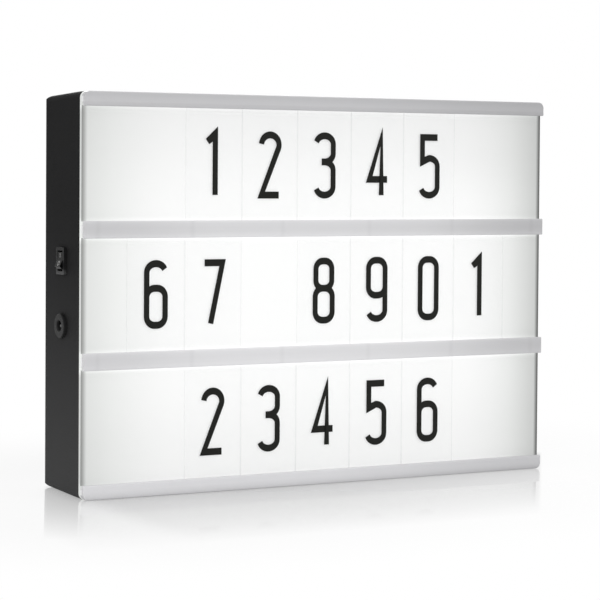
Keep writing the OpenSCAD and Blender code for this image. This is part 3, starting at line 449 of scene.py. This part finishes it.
# The pen's ribbon: at each point the path's mean normal, lengthened at corners, times an oval pen,
# carried through the six corners of a flat section with a small bevel
def ribbon(path, closed, penX, penZ, front, back, s=ribbonShape):
    keep = np.r_[True, np.linalg.norm(np.diff(path, axis=0), axis=1) > s["least"]]
    path = path[keep]
    if closed and np.linalg.norm(path[0] - path[-1]) < s["least"]:
        path = path[:-1]
    n = len(path)
    ahead = np.roll(path, -1, 0) - path
    if not closed:
        ahead[-1] = ahead[-2]
    ahead /= np.linalg.norm(ahead, axis=1)[:, None]
    behind = np.roll(ahead, 1, 0)
    if not closed:
        behind[0] = ahead[0]
    mean = ahead + behind
    mean /= np.linalg.norm(mean, axis=1)[:, None]
    reach = 1 / np.maximum((mean * ahead).sum(1), s["sharpest"])
    side = np.stack([-mean[:, 1] * penX, mean[:, 0] * penZ], 1) * reach[:, None]
    across = np.array([-1, -1, -s["bevel"], s["bevel"], 1, 1])
    shoulder = front * s["shoulder"] + back * (1 - s["shoulder"])
    depth = np.array([back, shoulder, front, front, shoulder, back])
    flat = path[:, None, :] + across[None, :, None] * side[:, None, :]
    points = np.empty((n, 6, 3))
    points[..., 0], points[..., 1], points[..., 2] = flat[..., 0], depth[None], flat[..., 1]
    rows = n if closed else n - 1
    i, k = np.meshgrid(np.arange(rows), np.arange(6), indexing="ij")
    quads = np.stack([i * 6 + k, i * 6 + (k + 1) % 6, (i + 1) % n * 6 + (k + 1) % 6, (i + 1) % n * 6 + k], -1)
    faces = quads.reshape(-1, 4).tolist()
    if not closed:
        faces += [list(range(5, -1, -1)), list(range((n - 1) * 6, n * 6))]
    return points.reshape(-1, 3), faces


# A mesh object from numpy parts [(points, faces), ...], one after the other
def makePiece(name, parts, body, material):
    points, faces, base = [], [], 0
    for p, f in parts:
        points.append(p)
        faces += [[base + k for k in face] for face in f]
        base += len(p)
    mesh = bpy.data.meshes.new(name)
    mesh.from_pydata(np.vstack(points).tolist(), [], faces)
    mesh.materials.append(material)
    mesh.update()
    piece = bpy.data.objects.new(name, mesh)
    bpy.context.scene.collection.objects.link(piece)
    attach(piece, body)


def inkPaint(s):
    p = Paint("numeralInk")
    spots = p.noise(s["spot"], 3)
    thin = spots * s["spotShare"] + p.noise(s["edge"]) * s["edgeShare"]
    return p.finish({"Base Color": p.mix(thin, s["base"], s["worn"]),
                     "Roughness": s["rough"] + s["spotRough"] * spots, "Specular IOR Level": s["shine"],
                     "Normal": p.bump(spots, s["relief"], s["strength"])})


# The pen's path is the numeral's size less the pen, in the middle of its tile and on the tile's face
def makeNumerals(s, material):
    w = (s["width"] - 2 * s["acrossPen"]) / 2
    h = s["height"] - 2 * s["alongPen"]
    for row in rowNames:
        for k, digit in enumerate(shown[row]):
            tile = f"tile_{row}_{k + 1}"
            low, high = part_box(tile)
            middle = (low + high) / 2
            parts = []
            for layer, (path, closed) in enumerate(strokesOf(digit, w, h, strokeShape)):
                face = low.y - s["proud"] - layer * s["layer"]
                points, faces = ribbon(path, closed, s["acrossPen"], s["alongPen"], face, low.y + s["sunk"])
                parts.append((points + np.array([middle.x, 0, middle.z]), faces))
            makePiece(f"numeral_{row}_{k + 1}", parts, tile, material)


makeNumerals(numeralFinish, inkPaint(numeralFinish))
print("numerals made")

# The small and inner nodes' plain materials start from this one
plainFinish = {
    "metal": 0.0, "shine": 0.5, "grain": 1500, "relief": 0.00002, "strength": 0.5, "stretch": (1, 1, 1),
    "edge": None, "fineShare": 0.35, "fineRough": 0.05, "patch": 120, "patchShare": 0.4, "patchRough": 0.16,
}
metalFinish = dict(plainFinish, metal=1.0)
reflectorFinish = dict(plainFinish, base=(0.82, 0.82, 0.8), worn=(0.76, 0.76, 0.73), rough=0.5, grain=2600)
resistorFinish = dict(plainFinish, base=(0.03, 0.03, 0.035), worn=(0.5, 0.5, 0.5), rough=0.4, shine=0.4,
                      grain=300)
rockerFinish = dict(plainFinish, base=(0.0025, 0.0025, 0.0028), worn=(0.005, 0.005, 0.005), rough=0.14,
                    shine=0.05, grain=400, relief=0.00001, edge=0.0006)
screwFinish = dict(metalFinish, base=(0.62, 0.63, 0.64), worn=(0.5, 0.5, 0.48), rough=0.32)
terminalFinish = dict(metalFinish, base=(0.72, 0.53, 0.25), worn=(0.55, 0.38, 0.17), rough=0.34)
nutFinish = dict(metalFinish, base=(0.24, 0.24, 0.25), worn=(0.12, 0.12, 0.12), rough=0.38)
# the pin's plated colour is kept dark: painted shade of the socket's hole
pinShadeFinish = dict(metalFinish, base=(0.17, 0.17, 0.172), worn=(0.1, 0.1, 0.095), rough=0.4)
contactFinish = dict(metalFinish, base=(0.66, 0.67, 0.68), worn=(0.5, 0.49, 0.45), rough=0.33,
                     stretch=(0.05, 1, 1))
springFinish = dict(metalFinish, base=(0.64, 0.65, 0.66), worn=(0.5, 0.5, 0.48), rough=0.3)
redFinish = dict(plainFinish, base=(0.42, 0.022, 0.016), worn=(0.5, 0.06, 0.05), rough=0.33, grain=800)
blackFinish = dict(plainFinish, base=(0.018, 0.018, 0.018), worn=(0.04, 0.04, 0.04), rough=0.33, grain=800)


# Plain stuff: fine grain as relief and slow patches, and both move the colour towards the worn one
def plainPaint(name, s):
    p = Paint(name)
    fine = p.noise(s["grain"], 3, s["stretch"])
    slow = p.noise(s["patch"], 3)
    wear = fine * s["fineShare"] + slow * s["patchShare"]
    return p.finish({"Base Color": p.mix(wear, s["base"], s["worn"]),
                     "Roughness": s["rough"] + s["patchRough"] * (slow - 0.5) + s["fineRough"] * fine,
                     "Metallic": s["metal"], "Specular IOR Level": s["shine"],
                     "Normal": p.bump(fine, s["relief"], s["strength"], s["edge"])})


boardFinish = {
    "mask": (0.74, 0.75, 0.70), "track": (0.52, 0.55, 0.46), "pad": (0.62, 0.60, 0.55),
    "worn": (0.6, 0.6, 0.55), "speck": 900, "speckShare": 0.1, "rough": 0.35,
    "relief": 0.00004, "strength": 0.6,
    "trackOff": 0.0032, "trackHalf": 0.0004, "trackSoft": 0.0001, "trackShare": 0.5,
    "padHalf": 0.0011, "padSoft": 0.0002, "padLong": 0.09, "padEnd": 0.01,  # the last two in lamp pitches
}


# White solder mask with copper-tinted tracks along the board and pads under the lamps
def boardPaint(s):
    p = Paint("boardMask")
    x, y, z = p.axes()
    off = abs(z - boxFront["middle"]) - boxFront["lampOff"]
    tracks = abs(off).band(s["trackOff"], s["trackHalf"], s["trackSoft"])
    pads = abs((x / boxFront["lampPitch"]).fraction() - 0.5).band(0, s["padLong"], s["padEnd"])
    pads = pads * off.band(0, s["padHalf"], s["padSoft"])
    speck = p.noise(s["speck"], 3) * s["speckShare"]
    color = p.mix(pads, p.mix(tracks * s["trackShare"], s["mask"], s["track"]), s["pad"])
    return p.finish({"Base Color": p.mix(speck, color, s["worn"]), "Roughness": s["rough"] + speck,
                     "Normal": p.bump(tracks + pads, s["relief"], s["strength"])})


lampFinish = {
    "body": (0.8, 0.8, 0.77), "phosphor": (0.86, 0.70, 0.18), "worn": (0.7, 0.66, 0.4),
    "light": (0.5, 0.46, 0.3), "windowSquare": (0.0000038, 0.0000033),  # radius squared, outside and inside
    "grain": 5000, "grainShare": 0.15, "rough": 0.3, "grainRough": 0.2, "relief": 0.00001, "strength": 0.4,
}


# Lamp package: white body, yellow phosphor in the round window
def lampPaint(s):
    p = Paint("lampPackage")
    x, y, z = p.axes()
    along = ((x / boxFront["lampPitch"]).fraction() - 0.5) * boxFront["lampPitch"]
    off = abs(z - boxFront["middle"]) - boxFront["lampOff"]
    window = (along * along + off * off).step(*s["windowSquare"])
    grain = p.noise(s["grain"])
    color = p.mix(window, s["body"], s["phosphor"])
    return p.finish({"Base Color": p.mix(grain * s["grainShare"], color, s["worn"]),
                     "Roughness": s["rough"] + s["grainRough"] * grain,
                     "Emission Color": p.mix(window, (0, 0, 0), s["light"]), "Emission Strength": 1.0,
                     "Normal": p.bump(grain, s["relief"], s["strength"])})


cellFinish = {
    "middle": 0.1101, "nub": (0.0248, 0.0252), "foot": (-0.0226, -0.0230), "dark": (0.010, 0.0102),
    "lines": (0.0080, 0.0065), "lineHalf": 0.0003, "lineSoft": 0.0001,
    "sleeve": (0.05, 0.13, 0.30), "band": (0.02, 0.03, 0.05), "up": 1,  # -1 with its nub below
    "line": (0.75, 0.75, 0.72), "metal": (0.68, 0.69, 0.70), "worn": (0.5, 0.5, 0.5),
    "scuff": 700, "stretch": (1, 1, 0.2), "scuffShare": 0.18, "rough": 0.28, "scuffRough": 0.2,
    "relief": 0.00002, "strength": 0.3,
}
turnedFinish = dict(cellFinish, sleeve=(0.05, 0.20, 0.14), band=(0.02, 0.04, 0.035), up=-1)


# Sleeve of a cell: bare metal at both ends, a dark band at the nub's end and two fine lines
def cellPaint(name, s):
    p = Paint(name)
    x, y, z = p.axes()
    along = (z - s["middle"]) * s["up"]  # from the middle of the bay towards the nub
    metal = (along.step(*s["nub"]) + along.step(*s["foot"])).low(1)
    lines = sum(along.band(place, s["lineHalf"], s["lineSoft"]) for place in s["lines"])
    scuff = p.noise(s["scuff"], 4, s["stretch"])
    color = p.mix(lines, p.mix(along.step(*s["dark"]), s["sleeve"], s["band"]), s["line"])
    color = p.mix(scuff * s["scuffShare"], p.mix(metal, color, s["metal"]), s["worn"])
    return p.finish({"Base Color": color, "Metallic": metal,
                     "Roughness": s["rough"] + s["scuffRough"] * scuff,
                     "Normal": p.bump(scuff, s["relief"], s["strength"])})


# The material of each slot in the record
finishes = {
    "case_black": blackPlastic("caseBlack", caseFinish),
    "door_black": blackPlastic("doorBlack", doorFinish),
    "switch_black": blackPlastic("switchBlack", switchFinish),
    "socket_black": blackPlastic("socketBlack", socketFinish),
    "opal_panel": opalPanel(panelFinish),
    "opal_rail": opalRail(railFinish),
    "clear_tile": clearFilm(tileFinish),
    "light_board": boardPaint(boardFinish),
    "lamp": lampPaint(lampFinish),
    "cell_blue": cellPaint("cellBlue", cellFinish),
    "cell_green": cellPaint("cellGreen", turnedFinish),
    "white_reflector": plainPaint("reflectorWhite", reflectorFinish),
    "resistor": plainPaint("resistorBlack", resistorFinish),
    "rocker_gloss": plainPaint("rockerGloss", rockerFinish),
    "screw_steel": plainPaint("screwZinc", screwFinish),
    "terminal_brass": plainPaint("terminalBrass", terminalFinish),
    "nut_steel": plainPaint("nutDark", nutFinish),
    "pin_plated": plainPaint("pinPaintedShade", pinShadeFinish),
    "contact_plated": plainPaint("contactPlated", contactFinish),
    "spring_steel": plainPaint("springPlated", springFinish),
    "red_sleeve": plainPaint("redSleeve", redFinish),
    "black_sleeve": plainPaint("blackSleeve", blackFinish),
}
slotOf = {row["node"]: row["material_slot"] for row in frame["record"]["subparts"]}
for name, node in nodes.items():
    material = finishes[slotOf[name]]
    if not node.material_slots:
        node.data.materials.append(material)
    for held in node.material_slots:
        held.material = material
print("finishes set:", len(finishes))

# The switch's on and off marks, printed on the two flats of the rocker
markFinish = dict(plainFinish, base=(0.6, 0.6, 0.59), worn=(0.4, 0.4, 0.39), rough=0.5, grain=3000,
                  relief=0.00001)
markShape = {
    "dish": 0.0035,  # from the pivot to the hollow between the flats
    "out": 0.0022, "tall": 0.0024, "wide": 0.0019, "pen": 0.00017, "proud": 0.00002, "points": 25,
}


# A bar and a ring. Each lies on its own flat, which rises from the hollow by half the joint's range, and
# the whole rocker rests turned by as much about its pivot
def makeMarks(s, ink):
    joint = next(row for row in frame["joints"] if row["name"] == "rocker_tilt")
    pivotX, pivotY, pivotZ = joint["pos_m"]
    tilt = math.radians(joint["range_deg"][1] / 2)
    bar = straight(0, -s["tall"] / 2, 0, s["tall"] / 2)
    ring = arc((0, 0), s["wide"] / 2, s["tall"] / 2, 0, 360, s["points"])
    for name, path, side in (("mark_on", bar, 1), ("mark_off", ring, -1)):
        points, faces = ribbon(path, side < 0, s["pen"], s["pen"], -s["proud"], s["proud"])
        across, depth, along = points.T
        along = along + side * s["out"] / math.cos(tilt)
        up = along * math.cos(tilt) + side * depth * math.sin(tilt)
        out = s["dish"] + side * along * math.sin(tilt) - depth * math.cos(tilt)
        turned = np.stack([pivotX + up * math.sin(tilt) - out * math.cos(tilt), pivotY - across,
                           pivotZ + up * math.cos(tilt) + out * math.sin(tilt)], 1)
        makePiece(name, [(turned, faces)], "rocker", ink)


makeMarks(markShape, plainPaint("markWhite", markFinish))
print("marks made")

floorFinish = {
    "color": (0.84, 0.84, 0.84), "mirror": 0.34, "fade": 0.11, "soft": 0.03,
    # how much darker the seen white starts before the box, and how far that goes along a slanting way
    "dark": 0.42, "reach": 0.15, "slantX": 0.39, "slantY": 0.87, "behindY": (0.03, 0.02),
    "rightLess": 0.42, "rightX": (-0.05, 0.15), "leftLess": 0.64, "leftX": (-0.134, -0.16),
    # the shade's sides: their slant in X for Y, and their soft edges
    "left": 0.42, "leftEdge": (0.0, -0.003), "right": 0.72, "rightEdge": (0.002, -0.002),
    # share of the floor's own light and shadow in what is seen, near the box and less on the right
    "own": 0.2, "ownReach": (0.22, 0.04), "ownLess": 0.6, "ownX": (-0.1, 0.1),
    "backY": 0.022, "backZ": 0.00136,  # a place on the case's drafted lower wall
    "half": 6, "lines": 5, "clear": 0.0001,
}


# White floor: camera, glossy and transmission rays see a mix of its lit matte face and of a plain white.
# The white darkens towards the box in a slanting shade with two straight sides, and a faint mirror fades
# away from the box
def floorPaint(s):
    p = Paint("floorWhite")
    x, y, z = p.axes()
    half, frontY = boxFront["half"], boxFront["y"]
    aside = (abs(x) - half).high(0)
    ahead = (frontY - y).high(y + frontY).high(0)
    distance = (aside * aside + ahead * ahead) ** 0.5
    rays = ("Is Camera Ray", "Is Glossy Ray", "Is Transmission Ray")
    seen = sum(p.node("ShaderNodeLightPath", out=ray) for ray in rays).low(1)
    inside = (s["left"] * (y + frontY) - x - half).step(*s["leftEdge"]) * y.step(*s["behindY"])
    inside = inside * (x - half - s["right"] * (y - frontY)).step(*s["rightEdge"])
    slant = ((0 - x - half) / s["slantX"]).high((frontY - y) / s["slantY"]).high(0)
    less = s["rightLess"] * x.step(*s["rightX"]) + s["leftLess"] * x.step(*s["leftX"])
    level = 1 - s["dark"] * (1 - less) * (1 - (slant / s["reach"]).low(1)) * inside
    matte = p.node("ShaderNodeBsdfDiffuse", None, {"Color": s["color"]})
    white = p.node("ShaderNodeEmission", None, {"Color": p.mix(level, (0, 0, 0), (1, 1, 1)), "Strength": 1.0})
    own = s["own"] * distance.step(*s["ownReach"]) * (1 - s["ownLess"] * x.step(*s["ownX"]))
    plain = p.node("ShaderNodeMixShader", None, {0: seen * (1 - own), 1: matte, 2: white})
    gloss = p.node("ShaderNodeBsdfAnisotropic", None, {"Color": (1, 1, 1), "Roughness": s["soft"]})
    mirror = s["mirror"] * (1 - distance / s["fade"]).high(0)
    return p.output(p.node("ShaderNodeMixShader", None, {0: mirror, 1: plain, 2: gloss}))


# Plane through the front edge on which the box stands and the back of its drafted lower wall
def makeFloor(s):
    n = s["lines"]
    steps = np.linspace(-s["half"], s["half"], n)
    gx, gy = np.meshgrid(steps, steps, indexing="ij")
    slope = s["backZ"] / (s["backY"] - boxFront["y"])
    points = np.stack([gx, gy, (gy - boxFront["y"]) * slope - s["clear"]], -1).reshape(-1, 3)
    i, k = np.meshgrid(np.arange(n - 1), np.arange(n - 1), indexing="ij")
    faces = np.stack([i * n + k, (i + 1) * n + k, (i + 1) * n + k + 1, i * n + k + 1], -1).reshape(-1, 4)
    mesh = bpy.data.meshes.new("floor")
    mesh.from_pydata(points.tolist(), [], faces.tolist())
    mesh.materials.append(floorPaint(s))
    floor = bpy.data.objects.new("floor", mesh)
    bpy.context.scene.collection.objects.link(floor)


lightLevels = {
    "world": 0.62, "aim": (0, 0, 0.1),
    # place, watts and size of each lamp
    "lamps": {"key": ((-1.0, -1.4, 1.3), 9.0, 0.45), "fill": ((1.3, -1.2, 0.9), 5.0, 1.2),
              "back": ((0.7, 1.7, 1.0), 14.0, 1.0)},
}


# The world is white to camera, glossy and transmission rays, and a softer light to all others
def makeWorld(s):
    world = bpy.data.worlds.new("studio")
    bpy.context.scene.world = world
    world.use_nodes = True
    tree = world.node_tree
    tree.nodes.clear()
    path = tree.nodes.new("ShaderNodeLightPath")
    soft = tree.nodes.new("ShaderNodeBackground")
    soft.inputs["Strength"].default_value = s["world"]
    white = tree.nodes.new("ShaderNodeBackground")
    white.inputs["Color"].default_value = soft.inputs["Color"].default_value = (1, 1, 1, 1)
    seen = path.outputs["Is Camera Ray"]
    for name in ("Is Glossy Ray", "Is Transmission Ray"):
        add = tree.nodes.new("ShaderNodeMath")
        add.operation = "MAXIMUM"
        tree.links.new(seen, add.inputs[0])
        tree.links.new(path.outputs[name], add.inputs[1])
        seen = add.outputs[0]
    mix = tree.nodes.new("ShaderNodeMixShader")
    tree.links.new(seen, mix.inputs[0])
    tree.links.new(soft.outputs[0], mix.inputs[1])
    tree.links.new(white.outputs[0], mix.inputs[2])
    end = tree.nodes.new("ShaderNodeOutputWorld")
    tree.links.new(mix.outputs[0], end.inputs["Surface"])


def makeLamps(s):
    for name, (place, power, size) in s["lamps"].items():
        data = bpy.data.lights.new(name, "AREA")
        data.energy, data.size = power, size
        lamp = bpy.data.objects.new(name, data)
        bpy.context.scene.collection.objects.link(lamp)
        lamp.location = place
        aim = Vector(s["aim"]) - Vector(place)
        lamp.rotation_mode = "QUATERNION"
        lamp.rotation_quaternion = aim.to_track_quat("-Z", "Y")


makeFloor(floorFinish)
makeWorld(lightLevels)
makeLamps(lightLevels)
bpy.context.scene.view_settings.view_transform = "Standard"
print("floor and lights made")
